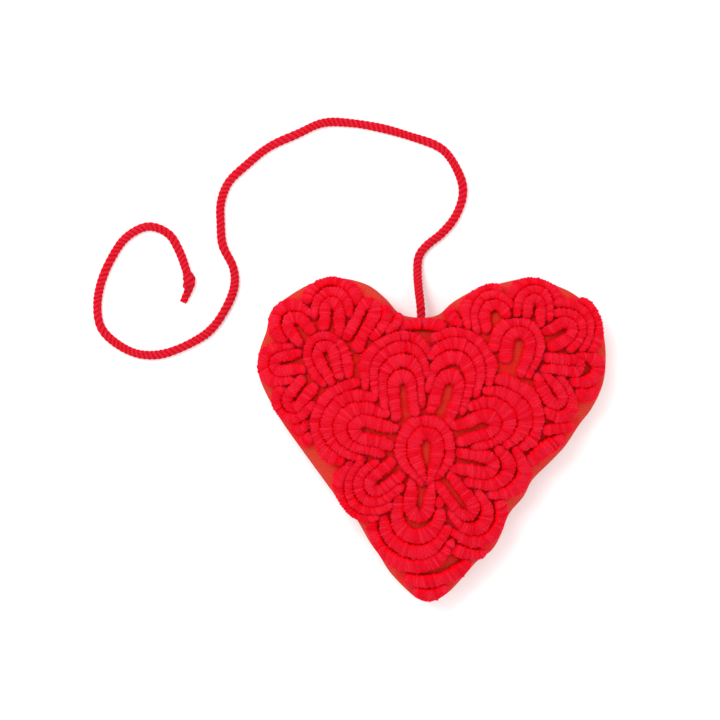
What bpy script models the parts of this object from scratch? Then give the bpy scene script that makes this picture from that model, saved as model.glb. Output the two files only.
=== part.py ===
"""An embroidered heart ornament: a stuffed cloth heart whose face is covered with nested rows of
wrapped wool stitches, hung from a long twisted wool cord that ends in a knot.

It lies on its back, face up (+Z), with the notch and its cord towards +Y. The layout of the heart's
outline, the stitches and the cord is given in hundredths of the heart's width, on the face."""

from math import asin, cos, hypot, pi, radians, sin
from typing import NamedTuple

import bmesh
import bpy
import numpy as np

# Driving sizes, in metres
HEART_WIDTH = 0.100
BACK_DEPTH = 0.0085
FACE_BULGE = 0.0125
STITCH_HEIGHT = 0.0029
STITCH_CLEARANCE = 0.0003
STITCH_SIDE_CLEARANCE = 0.0006
CORD_DIAMETER = 0.0026
CORD_CLEARANCE = 0.0003
KNOT_DIAMETER = 0.0042

# Layout, in hundredths of the heart's width
UNIT = HEART_WIDTH / 100
CENTRE = (-0.09, -0.05)
PUFF_CENTRE = (-1.0, 8.0)
STITCH_HALF_WIDTH = 1.4
BEND_LENGTH = 20.0
OUTLINE = [
    (-3.1, 34.8), (-9.1, 36.0), (-13.5, 40.6), (-19.0, 44.6), (-27.7, 46.4), (-35.0, 44.6), (-42.0, 40.5),
    (-46.2, 36.8), (-47.6, 31.0), (-49.3, 26.3), (-50.1, 22.6), (-49.7, 18.2), (-47.4, 12.6),
    (-43.0, 4.9), (-36.4, -4.4), (-29.4, -14.0), (-25.2, -19.5), (-21.8, -22.8), (-18.0, -29.4),
    (-15.0, -33.6), (-12.0, -38.3), (-6.9, -43.6), (-3.3, -46.2), (0.4, -46.5), (4.9, -43.8),
    (9.4, -39.0), (12.9, -35.1), (17.2, -31.8), (19.8, -27.4), (22.2, -21.4), (26.2, -16.6),
    (28.9, -11.6), (33.6, -6.9), (38.2, -2.0), (42.2, 4.0), (46.2, 9.4), (49.1, 16.0), (49.9, 23.0),
    (49.2, 30.4), (46.4, 36.5), (40.8, 41.7), (34.4, 44.6), (28.4, 46.4), (20.0, 44.9), (12.4, 42.9),
    (6.0, 39.4), (1.8, 35.8),
]

# The pad's mesh
FACE_RINGS = (0.985, 0.94, 0.86, 0.74, 0.56, 0.32)
BACK_RINGS = (0.98, 0.91, 0.8, 0.68)
FACE_FULLNESS = 2.7
BACK_FULLNESS = 4.0
SUNK_BACK = 0.0012

# The stitches' mesh
ROW_STATIONS = 14
SMALL_ROW_STATIONS = 11
ARC_STATIONS = 6
SMALL_REACH = 13.0
SHOULDER = 0.5
VALLEY_HEIGHT = 0.55
EDGE_HEIGHT = 0.36
END_HEIGHT = 0.62

# The cord's tube
CORD_POINT_SPACING = 2.5
CORD_SIDES_PER_QUARTER = 2


class Row(NamedTuple):
    """One wrapped stitch of a petal: how far it reaches, how wide it lies, where its arms start."""

    reach: float
    left: float
    right: float
    left_from: float
    right_from: float


class Petal(NamedTuple):
    """Nested rows that run out from a root, round and back, with a heading and a bend in degrees."""

    root: tuple
    heading: float
    bend: float
    pinch: float
    rows: list


class Arc(NamedTuple):
    """A single stitch between two points, bowed to its left."""

    start: tuple
    end: tuple
    bow: float


PETALS = {
    "flower_centre": Petal((-1.6, -11.0), 91, 0, 0.7, [
        Row(13.0, 3.4, 3.4, 1.0, 1.0), Row(16.9, 7.9, 7.2, 0.5, 0.5)]),
    "petal_1": Petal((-7.6, 6.4), 94, 0, 0, [
        Row(11.6, 3.2, 2.9, 1.2, 1.6), Row(16.6, 5.9, 4.9, 3.2, 5.5),
        Row(20.3, 8.2, 7.0, 7.2, 11.5), Row(23.2, 10.8, 9.0, 11.5, 18.0)]),
    "petal_2": Petal((2.0, 6.8), 68, 14, 0, [
        Row(11.8, 3.3, 3.3, 0.8, 1.0), Row(17.4, 5.9, 5.6, 8.0, 5.2),
        Row(21.5, 8.3, 8.0, 16.5, 9.6), Row(24.6, 10.2, 10.6, 23.0, 14.0)]),
    "petal_3": Petal((7.5, 1.9), 15, 0, 0, [
        Row(10.6, 2.8, 2.6, 0.8, 1.0), Row(14.8, 7.0, 5.0, 5.0, 5.5),
        Row(19.4, 9.7, 7.3, 11.0, 13.0), Row(23.8, 12.0, 9.2, 15.0, 18.0)]),
    "petal_4": Petal((7.0, -6.1), -2, -20, 0, [
        Row(10.2, 2.5, 2.5, 0.5, 1.0), Row(15.0, 5.2, 6.2, 12.0, 3.5),
        Row(19.4, 7.0, 8.4, 16.5, 13.0)]),
    "petal_5": Petal((4.6, -12.4), -54, 0, 0, [
        Row(10.2, 3.2, 2.3, 1.5, 3.6), Row(15.5, 5.4, 4.4, 8.5, 9.5),
        Row(19.2, 8.8, 7.2, 13.4, 14.0)]),
    "petal_6": Petal((-3.1, -12.6), -95, 0, 0, [
        Row(8.8, 2.9, 3.0, 1.0, 0.5), Row(15.0, 6.2, 6.6, 7.5, 4.8),
        Row(19.7, 8.9, 10.2, 14.0, 10.8), Row(23.4, 10.8, 13.3, 17.5, 14.8)]),
    "petal_7": Petal((-9.1, -7.6), 217, 0, 0, [
        Row(10.4, 2.3, 2.6, 2.0, 1.0), Row(13.9, 5.0, 5.2, 5.5, 7.0),
        Row(16.9, 7.3, 7.8, 9.0, 9.5), Row(19.0, 9.4, 9.7, 14.5, 11.0)]),
    "petal_8": Petal((-10.8, 0.8), 166, 0, 0, [
        Row(11.6, 2.6, 2.7, 1.0, 1.0), Row(15.8, 5.8, 6.0, 4.5, 3.8),
        Row(19.8, 8.2, 9.8, 9.5, 8.5), Row(23.3, 10.4, 13.4, 15.0, 14.5)]),
    "left_centre": Petal((-27.9, 18.4), 112, 0, 0.25, [
        Row(9.2, 2.6, 2.4, 0.5, 0.5), Row(11.9, 5.6, 5.2, 1.0, 0.6)]),
    "left_petal_1": Petal((-28.6, 30.6), 90, 0, 0, [
        Row(8.4, 2.4, 2.4, 1.6, 1.6), Row(11.6, 4.7, 4.9, 7.0, 6.5),
        Row(14.6, 7.4, 7.6, 10.0, 9.5)]),
    "left_petal_2": Petal((-36.2, 29.3), 128, 0, 0, [
        Row(6.6, 2.6, 2.7, 1.5, 1.5), Row(10.5, 5.6, 5.0, 3.5, 6.0)]),
    "left_petal_3": Petal((-37.3, 22.6), 190, 0, 0, [
        Row(7.9, 2.5, 2.4, 1.5, 1.2), Row(10.6, 5.2, 4.6, 4.0, 4.5)]),
    "left_petal_4": Petal((-35.5, 16.3), 233, 0, 0, [
        Row(8.5, 2.3, 2.4, 1.8, 2.4), Row(11.4, 4.7, 4.8, 6.5, 6.8)]),
    "left_petal_5": Petal((-22.5, 28.6), 61, 0, 0, [
        Row(11.2, 2.4, 2.2, 0.5, 0.5)]),
    "right_centre": Petal((23.5, 20.2), 82, 0, 0.3, [
        Row(10.7, 3.4, 3.6, 4.4, 0.8), Row(13.6, 6.8, 6.4, 7.0, 0.8)]),
    "right_petal_1": Petal((28.8, 32.8), 88, 0, 0, [
        Row(7.2, 2.2, 2.2, 2.6, 2.4), Row(10.0, 4.8, 4.6, 4.0, 4.0),
        Row(12.3, 7.2, 6.8, 9.5, 8.0)]),
    "right_petal_2": Petal((18.8, 32.6), 106, 0, 0, [
        Row(6.2, 3.6, 3.4, 2.0, 3.0), Row(8.9, 6.2, 5.2, 2.5, 5.0),
        Row(10.8, 8.4, 5.0, 3.0, 9.6)]),
    "right_petal_3": Petal((33.3, 28.8), 28, 0, 0, [
        Row(7.4, 2.7, 2.6, 1.5, 1.5), Row(10.1, 5.6, 5.2, 5.2, 6.0),
        Row(12.5, 8.2, 7.6, 8.5, 7.5), Row(14.9, 10.5, 9.2, 13.6, 9.8)]),
    "right_petal_4": Petal((32.2, 21.7), -4, 0, 0, [
        Row(9.8, 1.9, 1.9, 1.2, 1.8), Row(15.2, 2.9, 4.8, 9.5, 9.5)]),
    "right_petal_5": Petal((31.0, 17.8), -45, -65, 0.6, [
        Row(9.0, 2.4, 2.2, 2.0, 1.0), Row(12.6, 4.6, 3.8, 4.8, 11.0)]),
}

ARCS = {
    "petal_5_filler": Arc((1.9, -13.6), (2.3, -16.4), 0.0),
    "petal_5_tip": Arc((6.4, -31.2), (14.4, -32.4), -1.2),
    "left_side_stitch_1": Arc((-15.3, 30.8), (-13.0, 36.0), -0.8),
    "left_side_stitch_2": Arc((-10.8, 32.4), (-9.5, 35.2), -0.5),
    "left_leaf_1": Arc((-39.6, 3.0), (-36.0, 4.0), -0.5),
    "left_leaf_2": Arc((-37.3, -0.4), (-35.0, 0.7), -0.2),
    "right_side_stitch": Arc((7.2, 33.6), (4.7, 36.7), 0.3),
    "right_leaf_1": Arc((29.6, -4.2), (34.9, -0.2), 0.0),
    "right_leaf_2": Arc((33.3, 2.8), (39.4, 3.6), -0.2),
    "right_under_stitch": Arc((43.0, 12.8), (46.4, 14.1), -0.5),
    "tip_stitch_1": Arc((-5.2, -40.4), (8.4, -36.2), -1.9),
    "tip_stitch_2": Arc((-3.2, -43.7), (2.4, -43.2), -0.5),
    "notch_stitch": Arc((-7.4, 32.5), (2.0, 32.0), 0.9),
}

# The cord's route: across, up and its height above the surface that it lies on
CORD_ROUTE = [
    (-3.1, 35.3, 8.2), (-3.3, 38.8, 7.9), (-3.8, 43.2, 5.7), (-4.1, 48.0, 2.6), (-3.7, 52.4, 1.3),
    (-1.4, 55.6, 1.3), (2.9, 59.1, 1.3), (6.6, 63.6, 1.3), (8.8, 69.3, 1.3), (8.4, 74.6, 1.3),
    (5.1, 81.0, 1.3), (1.2, 84.3, 1.3), (-5.8, 86.8, 1.3), (-14.6, 89.3, 1.3), (-24.0, 90.8, 1.3),
    (-31.4, 90.7, 1.3), (-38.6, 87.6, 1.3), (-46.6, 83.9, 1.3), (-53.2, 78.7, 1.3),
    (-58.3, 73.7, 1.3), (-60.5, 68.0, 1.3), (-60.6, 62.1, 1.3), (-60.0, 55.6, 1.3),
    (-57.0, 49.2, 1.3), (-56.8, 43.3, 1.3), (-59.7, 36.5, 1.3), (-64.1, 30.8, 1.3),
    (-70.7, 26.8, 1.3), (-78.0, 24.3, 1.3), (-84.8, 24.6, 1.3), (-91.0, 27.8, 1.3),
    (-95.0, 32.2, 1.3), (-96.0, 38.3, 1.3), (-94.9, 45.0, 1.3), (-92.0, 51.8, 1.3),
    (-87.8, 57.8, 1.3), (-81.6, 61.0, 1.3), (-75.7, 59.0, 1.3), (-72.5, 54.0, 1.3),
    (-70.3, 48.0, 1.9),
]
KNOT_ROUTE = [
    (-70.1, 47.3, 2.0), (-69.6, 45.7, 2.1), (-69.5, 44.1, 1.9), (-70.0, 42.4, 1.5),
    (-70.7, 40.8, 1.3), (-71.4, 39.2, 1.3),
]
KNOT_SHAPE = (0.5, 0.85, 1.0, 0.62, 0.52, 0.46)


def material(name, colour, roughness):
    """A plain finish with a colour, for one sub-part."""
    made = bpy.data.materials.new(name)
    made.use_nodes = True
    shader = made.node_tree.nodes["Principled BSDF"]
    shader.inputs["Base Color"].default_value = (*colour, 1.0)
    shader.inputs["Roughness"].default_value = roughness
    shader.inputs["Metallic"].default_value = 0.0
    return made


def on_face(points):
    """Layout points as metres across and up the face."""
    return (np.asarray(points, float) - CENTRE) * UNIT


def smooth_open(points, steps):
    """A smooth curve through the points, as a dense run of points."""
    points = np.asarray(points, float)
    padded = np.concatenate([points[:1] * 2 - points[1:2], points, points[-1:] * 2 - points[-2:-1]])
    curve = []
    for k in range(len(points) - 1):
        before, start, end, after = padded[k : k + 4]
        for j in range(steps):
            u = j / steps
            curve.append(
                start * (2 * u**3 - 3 * u**2 + 1) + (end - before) / 2 * (u**3 - 2 * u**2 + u)
                + end * (3 * u**2 - 2 * u**3) + (after - start) / 2 * (u**3 - u**2)
            )
    curve.append(points[-1])
    return np.array(curve)


def even(points, count):
    """The same line with this many points, evenly spaced along it."""
    points = np.asarray(points, float)
    along = np.concatenate([[0.0], np.cumsum(np.linalg.norm(np.diff(points, axis=0), axis=1))])
    wanted = np.linspace(0.0, along[-1], count)
    return np.stack([np.interp(wanted, along, axis) for axis in points.T], axis=1)


RIM = on_face(OUTLINE)
PUFF = on_face(PUFF_CENTRE)


def rim_reach(direction):
    """How far the rim lies from the puff's centre in each direction, in radians."""
    away = RIM - PUFF
    angles = np.arctan2(away[:, 1], away[:, 0])
    order = np.argsort(angles)
    return np.interp(direction, angles[order], np.hypot(away[:, 0], away[:, 1])[order], period=2 * pi)


def face_height(points):
    """The height of the stuffed face over each point."""
    away = np.asarray(points) - PUFF
    share = np.hypot(away[:, 0], away[:, 1]) / rim_reach(np.arctan2(away[:, 1], away[:, 0]))
    share = np.clip(share, 0.0, 1.0)
    return BACK_DEPTH + FACE_BULGE * np.sqrt(1.0 - share**FACE_FULLNESS)


def stitch_floor(points):
    """The height of a stitch's underside: clear of the face upwards, and outwards where it is steep."""
    away = points - PUFF
    outwards = away / np.linalg.norm(away, axis=1)[:, None]
    return face_height(points - outwards * STITCH_SIDE_CLEARANCE) + STITCH_CLEARANCE


def back_height(share):
    """The height of the back at this share of the way out to the rim."""
    return max(0.0, BACK_DEPTH - (BACK_DEPTH + SUNK_BACK) * (1.0 - share**BACK_FULLNESS) ** 0.5)


def solid(name, bm, finish):
    """An object of the mesh, with its faces turned out."""
    bmesh.ops.recalc_face_normals(bm, faces=bm.faces)
    mesh = bpy.data.meshes.new(name)
    bm.to_mesh(mesh)
    bm.free()
    mesh.shade_smooth()
    mesh.set_sharp_from_angle(angle=radians(50))
    mesh.materials.append(finish)
    made = bpy.data.objects.new(name, mesh)
    bpy.context.scene.collection.objects.link(made)
    return made


def make_pad(finish):
    """The stuffed heart: rings from the rim in to the middle of the face, and to the flat back."""
    bm = bmesh.new()
    around = len(RIM)

    def ring(share, height_of):
        points = PUFF + (RIM - PUFF) * share
        return [bm.verts.new((x, y, z)) for (x, y), z in zip(points, height_of(points, share))]

    def face_ring(points, share):
        return face_height(points)

    def back_ring(points, share):
        return [back_height(share)] * around

    rim = [bm.verts.new((x, y, BACK_DEPTH)) for x, y in RIM]
    face = [rim] + [ring(share, face_ring) for share in FACE_RINGS]
    back = [rim] + [ring(share, back_ring) for share in BACK_RINGS]
    for rings in (face, back):
        for outer, inner in zip(rings, rings[1:]):
            for k in range(around):
                j = (k + 1) % around
                bm.faces.new((outer[k], outer[j], inner[j], inner[k]))
    top = bm.verts.new((*PUFF, BACK_DEPTH + FACE_BULGE))
    for k in range(around):
        bm.faces.new((face[-1][k], face[-1][(k + 1) % around], top))
    bm.faces.new(back[-1])
    return solid("heart_pad", bm, finish)


def petal_place(petal, along, across):
    """The point so far along a petal's bent axis and so far to the left of it."""
    pieces = 12
    x, y = petal.root
    for k in range(pieces):
        angle = radians(petal.heading + petal.bend * (k + 0.5) / pieces * along / BEND_LENGTH)
        x += along / pieces * cos(angle)
        y += along / pieces * sin(angle)
    angle = radians(petal.heading + petal.bend * along / BEND_LENGTH)
    return x - across * sin(angle), y + across * cos(angle)


def row_line(petal, row, stations):
    """A row's centre-line: out along its left arm, round its arch and back along its right arm."""
    arch = min(1.15 * (row.left + row.right) / 2, row.reach - 0.5)
    foot = row.reach - arch

    def cut(start):
        return asin(min(1.0, (start - foot) / arch)) if start > foot else 0.0

    def pinched(along):
        return 1.0 - petal.pinch * max(0.0, (foot - along) / foot) ** 2

    first, last = cut(row.left_from), pi - cut(row.right_from)
    local = []
    if first == 0.0:
        for along in np.linspace(row.left_from, foot, 8, endpoint=False):
            local.append((along, row.left * pinched(along)))
    for turn in np.linspace(first, last, 25):
        side = row.left if cos(turn) > 0 else row.right
        local.append((foot + arch * sin(turn), side * cos(turn)))
    if last == pi:
        for along in np.linspace(foot, row.right_from, 9)[1:]:
            local.append((along, -row.right * pinched(along)))
    return even([petal_place(petal, along, across) for along, across in local], stations)


def arc_line(arc):
    """A single stitch's centre-line."""
    start, end = np.array(arc.start), np.array(arc.end)
    length = hypot(*(end - start))
    sideways = np.array([start[1] - end[1], end[0] - start[0]]) / length
    shares = np.linspace(0.0, 1.0, ARC_STATIONS)[:, None]
    return start + (end - start) * shares + sideways * arc.bow * 4 * shares * (1 - shares)


def beside(line, distance):
    """The line moved sideways to its left."""
    ahead = np.gradient(line, axis=0)
    ahead /= np.hypot(ahead[:, 0], ahead[:, 1])[:, None]
    return line + distance * np.stack([-ahead[:, 1], ahead[:, 0]], axis=1)


def make_stitches(name, lines, inner_half_width, finish):
    """Nested rows as one ribbed sheet: a ridge along each line, a groove between each two."""
    inner_edge = beside(lines[0], -inner_half_width)
    outer_edge = beside(lines[-1], STITCH_HALF_WIDTH)
    grooves = [inner_edge] + [(a + b) / 2 for a, b in zip(lines, lines[1:])] + [outer_edge]
    heights = [EDGE_HEIGHT] + [VALLEY_HEIGHT] * (len(lines) - 1) + [EDGE_HEIGHT]
    rails = [(grooves[0], heights[0])]
    for line, before, after, height in zip(lines, grooves, grooves[1:], heights[1:]):
        rails.append((line + (before - line) * SHOULDER, 1.0))
        rails.append((line + (after - line) * SHOULDER, 1.0))
        rails.append((after, height))

    bm = bmesh.new()
    stations = len(lines[0])
    ends = np.ones(stations)
    ends[[0, -1]] = END_HEIGHT

    def rail_verts(line, lift):
        places = on_face(line)
        heights = stitch_floor(places) + lift
        return [bm.verts.new((x, y, z)) for (x, y), z in zip(places, heights)]

    top = [rail_verts(line, STITCH_HEIGHT * height * ends) for line, height in rails]
    base = [rail_verts(line, np.zeros(stations)) for line in grooves]
    for sheet in (top, base):
        for near, far in zip(sheet, sheet[1:]):
            for k in range(stations - 1):
                bm.faces.new((near[k], near[k + 1], far[k + 1], far[k]))
    for upper, lower in ((top[0], base[0]), (top[-1], base[-1])):
        for k in range(stations - 1):
            bm.faces.new((upper[k], upper[k + 1], lower[k + 1], lower[k]))
    for k in (0, stations - 1):
        for row in range(len(lines)):
            ridge = [rail[k] for rail in top[3 * row : 3 * row + 4]]
            bm.faces.new(ridge + [base[row + 1][k], base[row][k]])
    return solid(name, bm, finish)


def make_tube(name, points, radii, finish):
    """A round tube along the points, closed at its ends."""
    curve = bpy.data.curves.new(name, "CURVE")
    curve.dimensions = "3D"
    curve.bevel_depth = 1.0
    curve.bevel_resolution = CORD_SIDES_PER_QUARTER
    curve.use_fill_caps = True
    spline = curve.splines.new("POLY")
    spline.points.add(len(points) - 1)
    for point, place, radius in zip(spline.points, points, radii):
        point.co = (*place, 1.0)
        point.radius = radius
    curve.materials.append(finish)
    made = bpy.data.objects.new(name, curve)
    bpy.context.scene.collection.objects.link(made)
    return made


def route_points(route, steps=8):
    """A route's points in metres, on a smooth curve through them."""
    route = np.asarray(route, float)
    flat = on_face(route[:, :2])
    return smooth_open(np.column_stack([flat, route[:, 2] * UNIT]), steps)


def make_cord(finish):
    """The free cord, along the surface that the heart lies on."""
    dense = route_points(CORD_ROUTE)
    length = np.linalg.norm(np.diff(dense, axis=0), axis=1).sum()
    points = even(dense, round(length / (CORD_POINT_SPACING * CORD_DIAMETER)) + 1)
    points[:, 2] = np.maximum(points[:, 2], CORD_DIAMETER / 2)
    return make_tube("hanging_cord", points, [CORD_DIAMETER / 2] * len(points), finish)


def make_knot(finish):
    """The overhand knot that ends the cord, and the short tail past it."""
    points = route_points(KNOT_ROUTE, 1)
    points[0] = even(route_points(CORD_ROUTE), 2)[-1]
    ahead = points[1] - points[0]
    points[0] += ahead / np.linalg.norm(ahead) * CORD_CLEARANCE
    radii = np.array(KNOT_SHAPE) * KNOT_DIAMETER / 2
    points[:, 2] = np.maximum(points[:, 2], radii)
    return make_tube("cord_knot", points, radii, finish)


def main():
    for old in list(bpy.data.objects):
        bpy.data.objects.remove(old)
    cloth = material("rust_red_cloth", (0.55, 0.035, 0.02), 0.9)
    wool = material("red_wool", (0.72, 0.01, 0.03), 0.85)
    cord_wool = material("red_cord_wool", (0.68, 0.03, 0.045), 0.85)
    make_pad(cloth)
    for name, petal in PETALS.items():
        stations = ROW_STATIONS if petal.rows[-1].reach > SMALL_REACH else SMALL_ROW_STATIONS
        lines = [row_line(petal, row, stations) for row in petal.rows]
        inner = min(STITCH_HALF_WIDTH, 0.7 * min(petal.rows[0].left, petal.rows[0].right))
        make_stitches(name, lines, inner, wool)
    for name, arc in ARCS.items():
        make_stitches(name, [arc_line(arc)], STITCH_HALF_WIDTH, wool)
    make_cord(cord_wool)
    make_knot(cord_wool)


main()
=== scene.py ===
"""The looks of an embroidered heart ornament: rows of wrapped wool stitches on a stuffed cloth heart,
and a twisted wool cord that ends in a knot."""

from math import asin, ceil, cos, hypot, pi, radians, sin
from typing import NamedTuple

import bpy
import numpy as np
from bpy.props import FloatProperty, FloatVectorProperty, IntProperty, PointerProperty
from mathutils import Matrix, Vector


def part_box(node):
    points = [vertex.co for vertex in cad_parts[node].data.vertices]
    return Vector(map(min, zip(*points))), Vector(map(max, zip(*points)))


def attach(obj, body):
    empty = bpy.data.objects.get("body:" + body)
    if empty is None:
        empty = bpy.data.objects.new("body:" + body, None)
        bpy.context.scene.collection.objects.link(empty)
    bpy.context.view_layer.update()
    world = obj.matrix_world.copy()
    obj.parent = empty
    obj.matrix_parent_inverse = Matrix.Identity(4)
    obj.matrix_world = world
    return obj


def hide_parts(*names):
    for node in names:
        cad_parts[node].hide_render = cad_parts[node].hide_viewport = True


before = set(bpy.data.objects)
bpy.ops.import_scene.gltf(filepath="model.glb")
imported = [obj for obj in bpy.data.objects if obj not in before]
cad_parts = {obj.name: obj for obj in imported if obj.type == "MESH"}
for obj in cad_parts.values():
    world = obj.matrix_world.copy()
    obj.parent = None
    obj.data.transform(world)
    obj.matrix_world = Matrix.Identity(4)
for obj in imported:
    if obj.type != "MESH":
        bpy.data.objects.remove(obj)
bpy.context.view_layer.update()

bl_info = {
    "name": "Embroidered Heart Ornament",
    "version": (1, 0, 0),
    "blender": (4, 5, 0),
    "location": "3D View > Sidebar > Heart",
    "description": "Makes a stuffed heart with wrapped wool embroidery and a twisted hanging cord",
    "category": "Object",
}

MM = 0.001
TINY = 1e-6
PAD_LOW, PAD_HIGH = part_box("heart_pad")

# The layout, in hundredths of the heart's width on its face
UNIT = (PAD_HIGH.x - PAD_LOW.x) / 100
CENTRE = (-0.09, -0.05)
PUFF_CENTRE = (-1.0, 8.0)
BEND_LENGTH = 20.0
NOTCH = (-3.1, 34.8)
OUTLINE = [
    NOTCH, (-9.1, 36.0), (-13.5, 40.6), (-19.0, 44.6), (-27.7, 46.4), (-35.0, 44.6), (-42.0, 40.5),
    (-46.2, 36.8), (-47.6, 31.0), (-49.3, 26.3), (-50.1, 22.6), (-49.7, 18.2), (-47.4, 12.6),
    (-43.0, 4.9), (-36.4, -4.4), (-29.4, -14.0), (-25.2, -19.5), (-21.8, -22.8), (-18.0, -29.4),
    (-15.0, -33.6), (-12.0, -38.3), (-6.9, -43.6), (-3.3, -46.2), (0.4, -46.5), (4.9, -43.8),
    (9.4, -39.0), (12.9, -35.1), (17.2, -31.8), (19.8, -27.4), (22.2, -21.4), (26.2, -16.6),
    (28.9, -11.6), (33.6, -6.9), (38.2, -2.0), (42.2, 4.0), (46.2, 9.4), (49.1, 16.0), (49.9, 23.0),
    (49.2, 30.4), (46.4, 36.5), (40.8, 41.7), (34.4, 44.6), (28.4, 46.4), (20.0, 44.9), (12.4, 42.9),
    (6.0, 39.4), (1.8, 35.8),
]
OUTLINE_STEPS = 8

# How a stitch's line is drawn: its arch's length for its half width, its least arm, and its points
ARCH_LENGTH = 1.15
LEAST_ARM = 0.5
BEND_PIECES = 12
ARM_POINTS = 8
ARCH_POINTS = 25
ARC_POINTS = 12
LINE_STEP = 0.4 * MM

# The stuffed heart's profile, and the height that the stitches keep over it
BACK_DEPTH = 8.5 * MM
FACE_BULGE = PAD_HIGH.z - BACK_DEPTH
FACE_FULLNESS = 2.7
BACK_FULLNESS = 4.0
SUNK_BACK = 1.2 * MM
SEAM_DEPTH = 0.9 * MM
SEAM_WIDTH = 0.7 * MM
STITCH_CLEARANCE = 0.3 * MM
STITCH_SIDE_CLEARANCE = 0.6 * MM

# The cloth's swell between the stitches, from this share of the face's height and over this much more
CLOTH_RISE = 0.5 * MM
RISE_FROM = 0.15
RISE_OVER = 0.45

# The seam's puckers: their lengths and heights, and where they start and end up the face and down the back
PUCKER_SEED = 7
PUCKER_LENGTHS = (3.1 * MM, 4.3 * MM, 6.7 * MM, 9.9 * MM)
FACE_PUCKER = 0.22 * MM
BACK_PUCKER = 0.2 * MM
PUCKER_START = 0.3
FACE_PUCKER_END = 0.75
BACK_PUCKER_END = 0.8
BACK_PUCKER_FADE = 0.2

# The pad's mesh, and how far from the stitches its cloth is reddened by the wool's loose fibres and
# lightened as painted light in the gaps between rows
PAD_RAYS = 420
FACE_RINGS = 54
BACK_RINGS = 34
REDDENED_AND_LIT_TO = 2.0 * MM
REDDENED_AND_LIT_FADE = 1.4 * MM

# How far a stitch's ends run on to meet a neighbour
LEAST_RUN_ON = 1.2 * MM
MOST_RUN_ON = 3.4 * MM
MEETING = 1.4 * MM

# How the face's slope is read: over this step, drawn in a little from the rim, and at most this steep
SLOPE_STEP = 0.3 * MM
INSIDE_RIM = 0.985
STEEPEST = 1.3

# How wide the yarn lies to each side: half of the gap to a neighbour, pressed in, within these limits
FACING = 0.6
OWN_TURN = 6.0 * MM
OWN_ROOM = 2.1 * MM
MOST_ROOM = 2.4 * MM
RIM_ROOM = 3.1 * MM
LEAST_ROOM = 1.2 * MM
PRESSED = 0.2 * MM
ROOM_BLUR = 5

# The wraps' mesh, and what changes from turn to turn of the yarn
WRAP_STEPS = 6
WRAP_SIDES = 14
FEWEST_WRAPS = 4
NARROWEST_WRAP = 0.6
WIDEST_WRAP = 1.5
LOOSE_GIRTH = 0.3
LOOSE_SHIFT = 0.35 * MM
LOOSE_LEAN = 0.7
USUAL_LEAN = 0.22

# How a stitch thins at its tucked ends, and how much further in from the rim they turn
END_TAPER = 0.4
TUCK_SPREAD = 2

# The wraps' marks: how far apart two turns lie in the fibres, and the ridge mark in a groove and down a
# flank, which sets where the groove colour is painted as light and shade
WRAP_APART = 3.7
GROOVE_PAINT_MARK = 0.45
FLANK_PAINT_FALL = 0.7

# The cord's mesh, its strands and marks, and how high it lies as a share of its diameter
CORD_SEED = 31
CORD_SIDES_PER_STRAND = 8
CORD_STEP = 0.25 * MM
ROUTE_STEPS = 10
STRAND_RADIUS = 0.36
STRAND_APART = 5.0
CORD_LAY = 1.6
CORD_TONE = 0.5
CORD_REST = 0.54

# The knot: its girth along the cord, and a thinner loop that is wound round part of it
KNOT_GIRTH = (0.9, 1.3, 1.35, 1.0, 0.95, 0.92, 0.85)
LOOP_GIRTH = (0.5, 0.9, 1.0, 0.9, 0.5)
LOOP_DIAMETER = 0.82
LOOP_POINTS = 60
LOOP_FROM = 0.04
LOOP_TO = 0.66
LOOP_START = 0.1
LOOP_TURNS = 1.35
LOOP_REACH = 0.42
LOOP_ROUNDNESS = 0.7
LOOP_REST = 0.45


class Row(NamedTuple):
    """One wrapped stitch of a petal: how far it reaches, how wide it lies, where its arms start."""

    reach: float
    left: float
    right: float
    left_from: float
    right_from: float


class Petal(NamedTuple):
    """Nested rows that run out from a root, round and back, with a heading and a bend in degrees."""

    root: tuple
    heading: float
    bend: float
    pinch: float
    rows: list


class Arc(NamedTuple):
    """A single stitch between two points, bowed to its left."""

    start: tuple
    end: tuple
    bow: float


class Drift(NamedTuple):
    """A slow change along the yarn: how strong it is, and the shortest length that it takes."""

    strength: float
    length: float


class Lamp(NamedTuple):
    """A soft square lamp: where it hangs from the middle of the view, its width and its watts."""

    name: str
    away: tuple
    size: float
    power: float


DRIFT_WAVES = 4
STITCH_SWAY = Drift(0.1 * MM, 7 * MM)
STITCH_HEAVE = Drift(0.08 * MM, 9 * MM)
LEAN_DRIFT = Drift(0.12, 8 * MM)
TWIST_DRIFT = Drift(0.5, 14 * MM)
THICKNESS_DRIFT = Drift(0.035, 6 * MM)
TONE_DRIFT = Drift(0.25, 9 * MM)

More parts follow.
